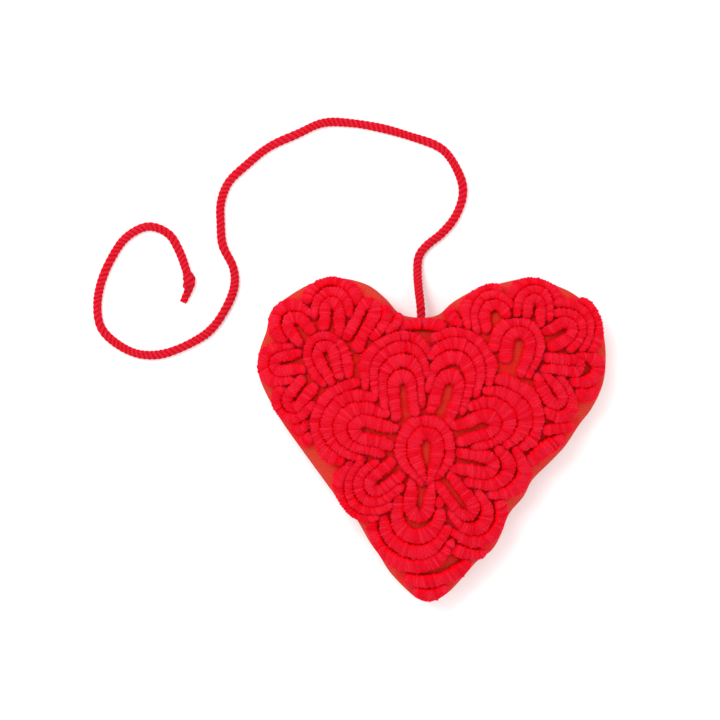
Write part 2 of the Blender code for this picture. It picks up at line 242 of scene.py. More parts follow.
PETALS = {
    "flower_centre": Petal((-1.6, -11.0), 91, 0, 0.7, [
        Row(13.0, 3.4, 3.4, 1.0, 1.0), Row(16.9, 7.9, 7.2, 0.5, 0.5)]),
    "petal_1": Petal((-7.6, 6.4), 94, 0, 0, [
        Row(11.6, 3.2, 2.9, 1.2, 1.6), Row(16.6, 5.9, 4.9, 3.2, 5.5),
        Row(20.3, 8.2, 7.0, 7.2, 11.5), Row(23.2, 10.8, 9.0, 11.5, 18.0)]),
    "petal_2": Petal((2.0, 6.8), 68, 14, 0, [
        Row(11.8, 3.3, 3.3, 0.8, 1.0), Row(17.4, 5.9, 5.6, 8.0, 5.2),
        Row(21.5, 8.3, 8.0, 16.5, 9.6), Row(24.6, 10.2, 10.6, 23.0, 14.0)]),
    "petal_3": Petal((7.5, 1.9), 15, 0, 0, [
        Row(10.6, 2.8, 2.6, 0.8, 1.0), Row(14.8, 7.0, 5.0, 5.0, 5.5),
        Row(19.4, 9.7, 7.3, 11.0, 13.0), Row(23.8, 12.0, 9.2, 15.0, 18.0)]),
    "petal_4": Petal((7.0, -6.1), -2, -20, 0, [
        Row(10.2, 2.5, 2.5, 0.5, 1.0), Row(15.0, 5.2, 6.2, 12.0, 3.5),
        Row(19.4, 7.0, 8.4, 16.5, 13.0)]),
    "petal_5": Petal((4.6, -12.4), -54, 0, 0, [
        Row(10.8, 2.3, 3.0, 0.6, 0.4), Row(15.5, 5.4, 4.4, 8.5, 9.5),
        Row(19.2, 8.8, 7.2, 13.4, 14.0)]),
    "petal_6": Petal((-3.1, -12.6), -95, 0, 0, [
        Row(8.8, 2.9, 3.0, 1.0, 0.5), Row(15.0, 6.2, 6.6, 7.5, 4.8),
        Row(19.7, 8.9, 10.2, 14.0, 10.8), Row(23.4, 10.8, 13.3, 17.5, 14.8)]),
    "petal_7": Petal((-9.1, -7.6), 217, 0, 0, [
        Row(10.4, 2.3, 2.6, 2.0, 1.0), Row(13.9, 5.0, 5.2, 5.5, 7.0),
        Row(16.9, 7.3, 7.8, 9.0, 9.5), Row(19.0, 9.4, 9.7, 14.5, 11.0)]),
    "petal_8": Petal((-10.8, 0.8), 166, 0, 0, [
        Row(11.6, 2.6, 2.7, 1.0, 1.0), Row(15.8, 5.8, 6.0, 4.5, 3.8),
        Row(19.8, 8.2, 9.8, 9.5, 8.5), Row(23.3, 10.4, 13.4, 15.0, 14.5)]),
    "left_centre": Petal((-27.9, 18.4), 112, 0, 0.25, [
        Row(9.2, 2.6, 2.4, 0.5, 0.5), Row(11.9, 5.6, 5.2, 1.0, 0.6)]),
    "left_petal_1": Petal((-28.6, 30.6), 90, 0, 0, [
        Row(8.4, 2.4, 2.4, 1.6, 1.6), Row(11.6, 4.7, 4.9, 7.0, 6.5),
        Row(14.6, 7.4, 7.6, 10.0, 9.5)]),
    "left_petal_2": Petal((-36.2, 29.3), 128, 0, 0, [
        Row(6.6, 2.6, 2.7, 1.5, 1.5), Row(10.5, 5.6, 5.0, 3.5, 6.0)]),
    "left_petal_3": Petal((-37.3, 22.6), 190, 0, 0, [
        Row(7.9, 2.5, 2.4, 1.5, 1.2), Row(10.6, 5.2, 4.6, 4.0, 4.5)]),
    "left_petal_4": Petal((-35.5, 16.3), 233, 0, 0, [
        Row(8.5, 2.3, 2.4, 1.8, 2.4), Row(11.4, 4.7, 4.8, 6.5, 6.8)]),
    "left_petal_5": Petal((-22.5, 28.6), 61, 0, 0, [
        Row(11.2, 2.4, 2.2, 0.5, 0.5)]),
    "right_centre": Petal((23.5, 20.2), 82, 0, 0.3, [
        Row(10.7, 3.4, 3.6, 4.4, 0.8), Row(13.6, 6.8, 6.4, 7.0, 0.8)]),
    "right_petal_1": Petal((28.8, 32.8), 88, 0, 0, [
        Row(7.2, 2.2, 2.2, 2.6, 2.4), Row(10.0, 4.8, 4.6, 4.0, 4.0),
        Row(12.3, 7.2, 6.8, 9.5, 8.0)]),
    "right_petal_2": Petal((18.8, 32.6), 106, 0, 0, [
        Row(6.2, 3.6, 3.4, 2.0, 3.0), Row(8.9, 6.2, 5.2, 2.5, 5.0),
        Row(10.8, 8.4, 5.0, 3.0, 9.6)]),
    "right_petal_3": Petal((33.3, 28.8), 28, 0, 0, [
        Row(7.4, 2.7, 2.6, 1.5, 1.5), Row(10.1, 5.6, 5.2, 5.2, 6.0),
        Row(12.5, 8.2, 7.6, 8.5, 7.5), Row(14.9, 10.5, 9.2, 13.6, 9.8)]),
    "right_petal_4": Petal((32.2, 21.7), -4, 0, 0, [
        Row(9.8, 1.9, 1.9, 1.2, 1.8), Row(15.2, 2.9, 4.8, 9.5, 9.5)]),
    "right_petal_5": Petal((31.0, 17.8), -45, -65, 0.6, [
        Row(9.0, 2.4, 2.2, 2.0, 1.0), Row(12.6, 4.6, 3.8, 4.8, 11.0)]),
}

ARCS = {
    "petal_5_filler": Arc((2.0, -17.2), (2.1, -18.6), 0.0),
    "petal_5_tip": Arc((6.4, -31.2), (14.4, -32.4), -1.2),
    "left_side_stitch_1": Arc((-15.3, 30.8), (-13.0, 36.0), -0.8),
    "left_side_stitch_2": Arc((-10.8, 32.4), (-9.5, 35.2), -0.5),
    "left_leaf_1": Arc((-39.6, 3.0), (-36.0, 4.0), -0.5),
    "left_leaf_2": Arc((-37.3, -0.4), (-35.0, 0.7), -0.2),
    "right_side_stitch": Arc((7.2, 33.6), (4.7, 36.7), 0.3),
    "right_leaf_1": Arc((29.6, -4.2), (34.9, -0.2), 0.0),
    "right_leaf_2": Arc((33.3, 2.8), (39.4, 3.6), -0.2),
    "right_under_stitch": Arc((43.0, 12.8), (46.4, 14.1), -0.5),
    "tip_stitch_1": Arc((-5.2, -40.4), (8.4, -36.2), -1.9),
    "tip_stitch_2": Arc((-3.2, -43.7), (2.4, -43.2), -0.5),
    "notch_stitch": Arc((-7.4, 32.5), (2.0, 32.0), 0.9),
}

# The cord's route: across, up and its height above the surface that it lies on
CORD_ROUTE = [
    (-3.1, 35.3, 8.2), (-3.3, 38.8, 7.9), (-3.8, 43.2, 5.7), (-4.1, 48.0, 2.6), (-3.7, 52.4, 1.3),
    (-1.4, 55.6, 1.3), (2.9, 59.1, 1.3), (6.6, 63.6, 1.3), (8.8, 69.3, 1.3), (8.4, 74.6, 1.3),
    (5.1, 81.0, 1.3), (1.2, 84.3, 1.3), (-5.8, 86.8, 1.3), (-14.6, 89.3, 1.3), (-24.0, 90.8, 1.3),
    (-31.4, 90.7, 1.3), (-38.6, 87.6, 1.3), (-46.6, 83.9, 1.3), (-53.2, 78.7, 1.3),
    (-58.3, 73.7, 1.3), (-60.5, 68.0, 1.3), (-60.6, 62.1, 1.3), (-60.0, 55.6, 1.3),
    (-57.0, 49.2, 1.3), (-56.8, 43.3, 1.3), (-59.7, 36.5, 1.3), (-64.1, 30.8, 1.3),
    (-70.7, 26.8, 1.3), (-78.0, 24.3, 1.3), (-84.8, 24.6, 1.3), (-91.0, 27.8, 1.3),
    (-95.0, 32.2, 1.3), (-96.0, 38.3, 1.3), (-94.9, 45.0, 1.3), (-92.0, 51.8, 1.3),
    (-87.8, 57.8, 1.3), (-81.6, 61.0, 1.3), (-75.7, 59.0, 1.3), (-72.5, 54.0, 1.3),
    (-70.3, 48.0, 1.9),
]
KNOT_ROUTE = [
    (-70.3, 48.0, 1.9), (-69.7, 46.0, 2.1), (-69.5, 44.1, 1.9), (-70.0, 42.4, 1.5),
    (-70.7, 40.8, 1.3), (-71.4, 39.2, 1.3),
]
TUCKED_CORD = (-3.0, 33.4, 8.2)

# The photograph's frame on the heart's face, in hundredths of the heart's width
VIEW_CENTRE = (-20.6, 22.7)
VIEW_WIDTH = 205.7

# The camera, the floor and the lights
VIEW_HEIGHT = 12 * MM
VIEW_DISTANCE = 2.2
NEAREST_SEEN = 0.05
SENSOR_WIDTH = 36.0
FLOOR_REACH = 3.0
ROOM_LIGHT = 1.1
LAMPS = (
    Lamp("key_light", (-0.32, 0.34, 0.95), 0.5, 6.3),
    Lamp("fill_light", (0.7, -0.3, 0.9), 0.9, 1.9),
)


class HeartSizes(bpy.types.PropertyGroup):
    """Sizes of the yarn, of how it is wrapped and twisted, and of the cloth's threads."""

    stitch_radius: FloatProperty(
        name="Stitch Radius", description="Half the thickness of a wrapped stitch",
        default=1.55 * MM, min=0.5 * MM, unit="LENGTH", precision=5)
    wrap_width: FloatProperty(
        name="Wrap Width", description="Width of each turn of yarn along a stitch",
        default=0.8 * MM, min=0.3 * MM, unit="LENGTH", precision=5)
    wrap_groove: FloatProperty(
        name="Wrap Groove", description="Depth of the groove between two turns of yarn",
        default=0.24 * MM, min=0.0, unit="LENGTH", precision=5)
    unevenness: FloatProperty(
        name="Unevenness", description="How unevenly the yarn is wrapped by hand",
        default=0.18, min=0.0, max=0.4, subtype="FACTOR")
    tuck_length: FloatProperty(
        name="Tuck Length", description="How far from its end a stitch dives into the cloth",
        default=1.7 * MM, min=0.1 * MM, unit="LENGTH", precision=5)
    tuck_depth: FloatProperty(
        name="Tuck Depth", description="How deep a stitch's ends dive into the cloth",
        default=2.5 * MM, min=0.0, unit="LENGTH", precision=5)
    cord_diameter: FloatProperty(
        name="Cord Diameter", description="Thickness of the twisted hanging cord",
        default=2.6 * MM, min=1.0 * MM, unit="LENGTH", precision=5)
    cord_strands: IntProperty(
        name="Cord Strands", description="Strands that are twisted into the cord", default=3, min=2)
    cord_twist: FloatProperty(
        name="Cord Twist", description="Length of one full turn of the cord's strands",
        default=4.2 * MM, min=1.0 * MM, unit="LENGTH", precision=5)
    thread_spacing: FloatProperty(
        name="Thread Spacing", description="Distance between two threads of the cloth",
        default=0.7 * MM, min=0.1 * MM, unit="LENGTH", precision=5)


class HeartColours(bpy.types.PropertyGroup):
    """Colours of the wool, the cloth and the floor, with the painted light and shade of their grooves."""

    wool: FloatVectorProperty(
        name="Wool", description="Colour of the embroidery wool",
        default=(0.45, 0.0020, 0.0105), min=0.0, max=1.0, subtype="COLOR")
    # Painted light: a brighter, deeper red painted into the grooves between turns and down the stitches'
    # flanks, lifting the shade that falls there.
    wool_painted_groove: FloatVectorProperty(
        name="Wool in Grooves", description="Colour of the wool between its turns",
        default=(0.80, 0.0, 0.004), min=0.0, max=1.0, subtype="COLOR")
    # Pale turns of yarn at random, and the painted highlights on loose fibres.
    wool_pale_and_highlight: FloatVectorProperty(
        name="Light Wool", description="Colour of the lightest turns of wool",
        default=(0.56, 0.017, 0.042), min=0.0, max=1.0, subtype="COLOR")
    cord: FloatVectorProperty(
        name="Cord", description="Colour of the hanging cord",
        default=(0.54, 0.011, 0.021), min=0.0, max=1.0, subtype="COLOR")
    # Painted shade: the darker red painted between the cord's strands.
    cord_painted_shade: FloatVectorProperty(
        name="Cord in Grooves", description="Colour of the cord between its strands",
        default=(0.44, 0.003, 0.008), min=0.0, max=1.0, subtype="COLOR")
    cloth: FloatVectorProperty(
        name="Cloth", description="Colour of the heart's cloth",
        default=(0.60, 0.036, 0.021), min=0.0, max=1.0, subtype="COLOR")
    # Painted shade: the darker colour painted between the cloth's threads and on the threads that lie under.
    cloth_painted_shade: FloatVectorProperty(
        name="Cloth between Threads", description="Colour of the cloth between its threads",
        default=(0.46, 0.018, 0.011), min=0.0, max=1.0, subtype="COLOR")
    # Partly the red of the wool's loose fibres on the cloth, partly painted light: a brighter red that lifts
    # the shaded gaps between rows.
    cloth_reddened_and_lit: FloatVectorProperty(
        name="Cloth beside Wool", description="Colour of the cloth close to a stitch, under loose fibres",
        default=(0.66, 0.006, 0.009), min=0.0, max=1.0, subtype="COLOR")
    floor: FloatVectorProperty(
        name="Floor", description="Colour of the floor",
        default=(0.97, 0.97, 0.97), min=0.0, max=1.0, subtype="COLOR")


def on_face(points):
    """Layout points as metres across and up the face."""
    return (np.asarray(points, float) - CENTRE) * UNIT


def through(before, start, end, after, steps):
    """Points from start towards end on a smooth curve that also heads for the points before and after."""
    u = (np.arange(steps) / steps)[:, None]
    leave, arrive = (end - before) / 2, (after - start) / 2
    return (
        start * (2 * u**3 - 3 * u**2 + 1) + leave * (u**3 - 2 * u**2 + u)
        + end * (3 * u**2 - 2 * u**3) + arrive * (u**3 - u**2)
    )


def smooth_closed(points, steps):
    """A smooth closed curve through the points, with a corner at the first."""
    points = np.asarray(points, float)
    count = len(points)
    curve = []
    for k in range(count):
        start, end = points[k], points[(k + 1) % count]
        before = points[k - 1] if k > 0 else 2 * start - end
        after = points[(k + 2) % count] if k < count - 1 else 2 * end - start
        curve.append(through(before, start, end, after, steps))
    return np.concatenate(curve)


def smooth_open(points, steps):
    """A smooth curve through the points, as a dense run of points."""
    points = np.asarray(points, float)
    padded = np.concatenate([points[:1] * 2 - points[1:2], points, points[-1:] * 2 - points[-2:-1]])
    curve = [through(*padded[k : k + 4], steps) for k in range(len(points) - 1)]
    return np.concatenate([*curve, points[-1:]])


def run_of(points):
    """The distance along a line to each of its points."""
    return np.concatenate([[0.0], np.cumsum(np.linalg.norm(np.diff(points, axis=0), axis=1))])


def at(points, distances):
    """The places on a line at these distances along it."""
    run = run_of(points)
    return np.stack([np.interp(distances, run, axis) for axis in np.asarray(points).T], axis=1)


def even(points, count):
    """The same line with this many points, evenly spaced along it."""
    return at(points, np.linspace(0.0, run_of(points)[-1], count))


def by_step(points):
    """The same line with a point at every short step."""
    return even(points, ceil(run_of(points)[-1] / LINE_STEP) + 1)


def unit_rows(vectors):
    """Each vector at length one."""
    return vectors / np.linalg.norm(vectors, axis=-1, keepdims=True)


def leftwards(line):
    """The direction to the left of a flat line at each of its points."""
    ahead = unit_rows(np.gradient(line, axis=0))
    return np.stack([-ahead[:, 1], ahead[:, 0]], axis=1)


def directions(line, upright=(0.0, 0.0, 1.0)):
    """The directions ahead, to the side and up at each point of a line."""
    ahead = unit_rows(np.gradient(line, axis=0))
    side = unit_rows(np.cross(ahead, upright))
    return ahead, side, np.cross(side, ahead)


def eased(value):
    """Zero to one with a soft start and end."""
    value = np.clip(value, 0.0, 1.0)
    return value * value * (3 - 2 * value)


def wander(rng, distances, drift):
    """A smooth random drift at these distances along a line."""
    total = np.zeros(len(distances))
    for _ in range(DRIFT_WAVES):
        wave, start = drift.length * (1 + 2 * rng.random()), 2 * pi * rng.random()
        total += np.sin(2 * pi * distances / wave + start)
    return drift.strength * (total / DRIFT_WAVES**0.5)


RIM = on_face(smooth_closed(OUTLINE, OUTLINE_STEPS))
PUFF = on_face(PUFF_CENTRE)


def rim_reach(direction):
    """How far the rim lies from the puff's centre in each direction, which is an angle in radians."""
    away = RIM - PUFF
    angles = np.arctan2(away[:, 1], away[:, 0])
    order = np.argsort(angles)
    return np.interp(direction, angles[order], np.hypot(away[:, 0], away[:, 1])[order], period=2 * pi)


def face_height(points):
    """The height of the stuffed face over each point."""
    away = np.asarray(points) - PUFF
    share = np.hypot(away[:, 0], away[:, 1]) / rim_reach(np.arctan2(away[:, 1], away[:, 0]))
    share = np.clip(share, 0.0, 1.0)
    return BACK_DEPTH + FACE_BULGE * np.sqrt(1.0 - share**FACE_FULLNESS)


def stitch_floor(points):
    """The height that a stitch's underside keeps over the face."""
    outwards = unit_rows(points - PUFF)
    return face_height(points - outwards * STITCH_SIDE_CLEARANCE) + STITCH_CLEARANCE


def petal_place(petal, along, across):
    """The point so far along a petal's bent axis and so far to the left of it."""
    x, y = petal.root
    for k in range(BEND_PIECES):
        angle = radians(petal.heading + petal.bend * (k + 0.5) / BEND_PIECES * along / BEND_LENGTH)
        x += along / BEND_PIECES * cos(angle)
        y += along / BEND_PIECES * sin(angle)
    angle = radians(petal.heading + petal.bend * along / BEND_LENGTH)
    return x - across * sin(angle), y + across * cos(angle)


def row_line(petal, row):
    """A row's centre-line: out along its left arm, round its arch and back along its right arm."""
    arch = min(ARCH_LENGTH * (row.left + row.right) / 2, row.reach - LEAST_ARM)
    foot = row.reach - arch

    def cut(start):
        return asin(min(1.0, (start - foot) / arch)) if start > foot else 0.0

    def pinched(along):
        return 1.0 - petal.pinch * max(0.0, (foot - along) / foot) ** 2

    first, last = cut(row.left_from), pi - cut(row.right_from)
    local = []
    if first == 0.0:
        for along in np.linspace(row.left_from, foot, ARM_POINTS, endpoint=False):
            local.append((along, row.left * pinched(along)))
    for turn in np.linspace(first, last, ARCH_POINTS):
        side = row.left if cos(turn) > 0 else row.right
        local.append((foot + arch * sin(turn), side * cos(turn)))
    if last == pi:
        for along in np.linspace(foot, row.right_from, ARM_POINTS + 1)[1:]:
            local.append((along, -row.right * pinched(along)))
    return np.array([petal_place(petal, along, across) for along, across in local])


def arc_line(arc):
    """A single stitch's centre-line."""
    start, end = np.array(arc.start), np.array(arc.end)
    length = hypot(*(end - start))
    sideways = np.array([start[1] - end[1], end[0] - start[0]]) / length
    shares = np.linspace(0.0, 1.0, ARC_POINTS)[:, None]
    return start + (end - start) * shares + sideways * arc.bow * 4 * shares * (1 - shares)


def tube_faces(rings, sides, closed_ends=True):
    """Faces of a tube whose rings of points follow each other."""
    ring, side = np.meshgrid(np.arange(rings - 1), np.arange(sides), indexing="ij")
    beside = (side + 1) % sides
    near, far = ring * sides, (ring + 1) * sides
    corners = [near + side, far + side, far + beside, near + beside]
    faces = np.stack(corners, axis=-1).reshape(-1, 4).tolist()
    if closed_ends:
        faces.append(list(range(sides)))
        faces.append([(rings - 1) * sides + k for k in reversed(range(sides))])
    return faces


def piece(name, points, faces, finish, marks=None):
    """A smooth mesh object, with a named number or vector at each point for its material to read."""
    mesh = bpy.data.meshes.new(name)
    mesh.from_pydata(np.asarray(points).reshape(-1, 3).tolist(), [], faces)
    mesh.update()
    mesh.shade_smooth()
    for mark, values in (marks or {}).items():
        values = np.asarray(values, np.float32)
        vector = values.ndim == 2
        attribute = mesh.attributes.new(mark, "FLOAT_VECTOR" if vector else "FLOAT", "POINT")
        attribute.data.foreach_set("vector" if vector else "value", values.ravel())
    mesh.materials.append(finish)
    made = bpy.data.objects.new(name, mesh)
    bpy.context.scene.collection.objects.link(made)
    return made


def stand_for(made, node):
    """The piece rides with the heart and stands for the node, whose part is hidden."""
    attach(made, "root")
    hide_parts(node)


class Shader:
    """A material's node tree, with short calls to place its nodes and join them."""

    def __init__(self, tree):
        self.tree = tree

    def node(self, kind, inputs=None, **settings):
        """A node of this kind, with its settings made and its inputs joined."""
        made = self.tree.nodes.new(kind)
        for key, value in settings.items():
            setattr(made, key, value)
        self.fill(made, inputs or {})
        return made

    def fill(self, made, inputs):
        """Joins each value to the node's input of that name or number."""
        for key, value in inputs.items():
            self.join(value, made.inputs[key])

    def join(self, value, socket):
        """Links an output to the socket, or sets the socket to a plain value."""
        if isinstance(value, bpy.types.NodeSocket):
            self.tree.links.new(value, socket)
        else:
            socket.default_value = value

    def math(self, operation, *values):
        """The result of a calculation with one or two values."""
        inputs = dict(enumerate(values))
        return self.node("ShaderNodeMath", inputs, operation=operation).outputs[0]

    def spread(self, value, low=0.0, high=1.0, to_low=0.0, to_high=1.0):
        """The value's range from low to high, stretched to another range and cut off at its ends."""
        inputs = {"Value": value, "From Min": low, "From Max": high, "To Min": to_low, "To Max": to_high}
        return self.node("ShaderNodeMapRange", inputs).outputs["Result"]

    def mix(self, share, first, second):
        """A colour between the first and the second, with this share of the second."""
        inputs = {"Factor": share, "A": first, "B": second}
        return self.node("ShaderNodeMix", inputs, data_type="RGBA").outputs["Result"]

    def noise(self, vector, scale, detail=2.0, roughness=0.5):
        """Cloudy noise, as a value."""
        inputs = {"Vector": vector, "Scale": scale, "Detail": detail, "Roughness": roughness}
        return self.node("ShaderNodeTexNoise", inputs).outputs["Fac"]

    def mark(self, name, output="Fac"):
        """What a piece's mesh holds at each point under this name."""
        return self.node("ShaderNodeAttribute", attribute_name=name).outputs[output]


def colour(value):
    """A colour property as a socket's four numbers."""
    return (*value, 1.0)


def new_material(name):
    """An empty material, as its shader calls, its Principled BSDF and itself."""
    made = bpy.data.materials.new(name)
    made.use_nodes = True
    return Shader(made.node_tree), made.node_tree.nodes["Principled BSDF"], made


def wool_fibres():
    """The yarn's own twist and its loose fibres, read along and around a strand in millimetres."""
    name = "Wool Fibres"
    if name in bpy.data.node_groups:
        return bpy.data.node_groups[name]
    group = bpy.data.node_groups.new(name, "ShaderNodeTree")
    for socket, way, kind in (
        ("Lay", "INPUT", "Vector"), ("Twist", "INPUT", "Float"), ("Fibre Scale", "INPUT", "Float"),
        ("Shade", "OUTPUT", "Float"), ("Height", "OUTPUT", "Float"),
    ):
        group.interface.new_socket(socket, in_out=way, socket_type=f"NodeSocket{kind}")
    shader = Shader(group)
    given = shader.node("NodeGroupInput").outputs
    lay = shader.node("ShaderNodeSeparateXYZ", {"Vector": given["Lay"]}).outputs
    slant, wobble, squeeze = 0.75, 1.4, 4.0
    slope = shader.math("ADD", shader.math("MULTIPLY", lay["X"], slant), lay["Y"])
    bend = shader.math("MULTIPLY", shader.noise(given["Lay"], scale=0.9), wobble)
    turn = shader.math("ADD", shader.math("MULTIPLY", slope, given["Twist"]), bend)
    twist = shader.math("ABSOLUTE", shader.math("SINE", shader.math("MULTIPLY", turn, pi)))
    squeezed = {"X": shader.math("MULTIPLY", lay["X"], squeeze), "Y": slope, "Z": lay["Z"]}
    stretched = shader.node("ShaderNodeCombineXYZ", squeezed).outputs["Vector"]
    fibres = shader.noise(stretched, given["Fibre Scale"], detail=4.0, roughness=0.65)
    twist_height, whole_height = 0.55, 0.65
    height = shader.math("ADD", shader.math("MULTIPLY", twist, twist_height), fibres)
    height = shader.math("MULTIPLY", height, whole_height)
    shader.node("NodeGroupOutput", {"Height": height, "Shade": fibres})
    return group


def wool_material(name, base, groove_paint, twist):
    """Soft matt wool, made once: painted light and shade between its turns and strands, painted highlights
    on its loose fibres, and a little lighter or darker from turn to turn.
    """
    if name in bpy.data.materials:
        return bpy.data.materials[name]
    light = colour(bpy.context.scene.heart_colours.wool_pale_and_highlight)
    shader, surface, made = new_material(name)
    given = {"Lay": shader.mark("lay", "Vector"), "Twist": twist, "Fibre Scale": 2.6}
    fibres = shader.node("ShaderNodeGroup", given, node_tree=wool_fibres())
    shade, height = fibres.outputs["Shade"], fibres.outputs["Height"]
    toned = shader.mix(shader.spread(shader.mark("tone"), to_high=0.75), base, light)
    # Painted highlights on loose fibres: where the fibre noise is high, the pale colour.
    lint_highlighted = shader.mix(shader.spread(shade, low=0.5, high=0.7, to_high=0.8), toned, light)
    # Painted light and shade: the grooves and flanks that the ridge mark finds take the groove colour.
    groove_paint_share = shader.spread(shader.mark("ridge"), low=0.1, high=0.9, to_low=1.0, to_high=0.0)
    shaded = shader.mix(groove_paint_share, lint_highlighted, groove_paint)
    # Painted shade between the fibres: where the fibre noise is low, the groove colour.
    fibre_shaded = shader.mix(shader.spread(shade, low=0.42, high=0.3, to_high=0.5), shaded, groove_paint)
    bump = shader.node("ShaderNodeBump", {"Height": height, "Distance": 0.1 * MM, "Strength": 0.7})
    shader.fill(surface, {
        "Base Color": fibre_shaded, "Normal": bump.outputs["Normal"], "Roughness": 0.85,
        "Subsurface Weight": 0.75, "Subsurface Radius": (1.0, 0.12, 0.12), "Subsurface Scale": 1.2 * MM,
        "Specular IOR Level": 0.0, "Sheen Weight": 0.1, "Sheen Roughness": 0.45, "Sheen Tint": light,
    })
    return made


def embroidery_wool():
    """The stitches' wool, with painted light in its grooves and down its flanks."""
    colours = bpy.context.scene.heart_colours
    return wool_material("wrapped_wool", colour(colours.wool), colour(colours.wool_painted_groove), twist=1.1)


def cord_wool():
    """The cord's wool, with painted shade between its strands."""
    colours = bpy.context.scene.heart_colours
    return wool_material("twisted_wool", colour(colours.cord), colour(colours.cord_painted_shade), twist=1.4)


def cloth_material(colours, sizes):
    """Plain woven cloth: threads over and under each other, slubs, and a fuzz of fibres, with painted shade
    between its threads and on the threads that lie under.
    """
    shader, surface, made = new_material("woven_cloth")
    cloth = shader.mark("cloth", "Vector")
    drift = shader.node("ShaderNodeTexNoise", {"Vector": cloth, "Scale": 0.35, "Detail": 2.0})
    pull = shader.node("ShaderNodeVectorMath", {0: drift.outputs["Color"], "Scale": 0.8}, operation="SCALE")
    placed = shader.node("ShaderNodeVectorMath", {0: cloth, 1: pull.outputs[0]}, operation="ADD").outputs[0]
    split = shader.node("ShaderNodeSeparateXYZ", {"Vector": placed}).outputs
    turns = pi * MM / sizes.thread_spacing
    across, along = (shader.math("SINE", shader.math("MULTIPLY", split[axis], turns)) for axis in "XY")
    over = shader.spread(shader.math("MULTIPLY", across, along), low=-0.35, high=0.35)
    under = shader.math("SUBTRACT", 1.0, over)
    # Painted shade: each thread darkens towards its sides and where it lies under the other.
    warp, weft = (
        shader.math("MULTIPLY", shader.math("ABSOLUTE", wave), shader.spread(above, to_low=0.45))
        for wave, above in ((across, over), (along, under))
    )
    weave = shader.math("MAXIMUM", warp, weft)
    slub = shader.noise(placed, scale=1.7, detail=3.0, roughness=0.6)
    lit = shader.math("MULTIPLY", weave, shader.spread(slub, low=0.3, high=0.7, to_low=0.7, to_high=1.15))
    # Partly the wool's loose fibres, partly painted light: the cloth near the stitches is redder and
    # lighter.
    reddened_and_lit_thread = shader.mix(shader.mark("beside_wool"), colour(colours.cloth), colour(colours.cloth_reddened_and_lit))
    shown = shader.mix(shader.spread(lit, low=0.25, high=0.85), colour(colours.cloth_painted_shade), reddened_and_lit_thread)
    fuzz = shader.noise(placed, scale=7.0, detail=3.0, roughness=0.7)
    height = shader.math("ADD", weave, shader.spread(fuzz, to_high=0.5))
    bump = shader.node("ShaderNodeBump", {"Height": height, "Distance": 0.16 * MM, "Strength": 0.8})
    shader.fill(surface, {
        "Base Color": shown, "Normal": bump.outputs["Normal"], "Roughness": 0.92,
        "Specular IOR Level": 0.0, "Sheen Weight": 0.05, "Sheen Roughness": 0.5,
    })
    return made


def rim_puckers(rim):
    """The puckers that the seam pulls into the cloth at each point of the rim, at most one."""
    rng = np.random.default_rng(PUCKER_SEED)
    around = run_of(np.concatenate([rim, rim[:1]]))[:-1]
    length = around[-1]
    puckers = np.zeros(len(rim))
    for pucker in PUCKER_LENGTHS:
        waves, start = round(length / pucker), 2 * pi * rng.random()
        puckers += np.sin(2 * pi * waves * around / length + start)
    return puckers / len(PUCKER_LENGTHS)


def seam_pinch(height):
    """How far in the seam is pinched at this height over it or under it."""
    return SEAM_DEPTH * np.exp(-((height / SEAM_WIDTH) ** 2))


def stuffed_surface():
    """The cloth heart's rings of points, from the middle of its face out, round and in under its back."""
    rays = np.linspace(0.0, 2 * pi, PAD_RAYS, endpoint=False)
    rim = PUFF + rim_reach(rays)[:, None] * np.stack([np.cos(rays), np.sin(rays)], axis=1)
    puckers = rim_puckers(rim)
    rings = []
    for turn in np.linspace(0.0, pi / 2, FACE_RINGS + 1)[1:]:
        share, top = sin(turn) ** (2 / FACE_FULLNESS), cos(turn)
        puckered = eased(top / PUCKER_START) * eased(1 - top / FACE_PUCKER_END)
        height = BACK_DEPTH + FACE_BULGE * top + FACE_PUCKER * puckers * puckered
        height = height + CLOTH_RISE * eased((top - RISE_FROM) / RISE_OVER)
        rings.append((share, height, seam_pinch(FACE_BULGE * top)))
    for turn in np.linspace(pi / 2, 0.0, BACK_RINGS + 1)[1:-1]:
        share, down = sin(turn) ** (2 / BACK_FULLNESS), cos(turn)
        puckered = eased(down / PUCKER_START) * eased((BACK_PUCKER_END - down) / BACK_PUCKER_FADE)
        drop = (BACK_DEPTH + SUNK_BACK) * down
        height = np.maximum(0.0, BACK_DEPTH - drop + BACK_PUCKER * puckers * puckered)
        rings.append((share, height, seam_pinch(drop)))
    points = []
    for share, height, seam in rings:
        away = (rim - PUFF) * share
        away = away * (1 - seam / np.linalg.norm(away, axis=1))[:, None]
        points.append(np.column_stack([PUFF + away, np.broadcast_to(height, len(rim))]))
    return np.array(points)


def beside_wool(points):
    """How near each point of the face lies to a stitch: one beside it, zero in the open."""
    line = np.concatenate([line[::2] for _, line in stitch_lines()])
    line = np.column_stack([line, stitch_floor(line)])
    gap = np.array([np.linalg.norm(line - point, axis=1).min() for point in points])
    return 1 - eased((gap - REDDENED_AND_LIT_TO) / REDDENED_AND_LIT_FADE)


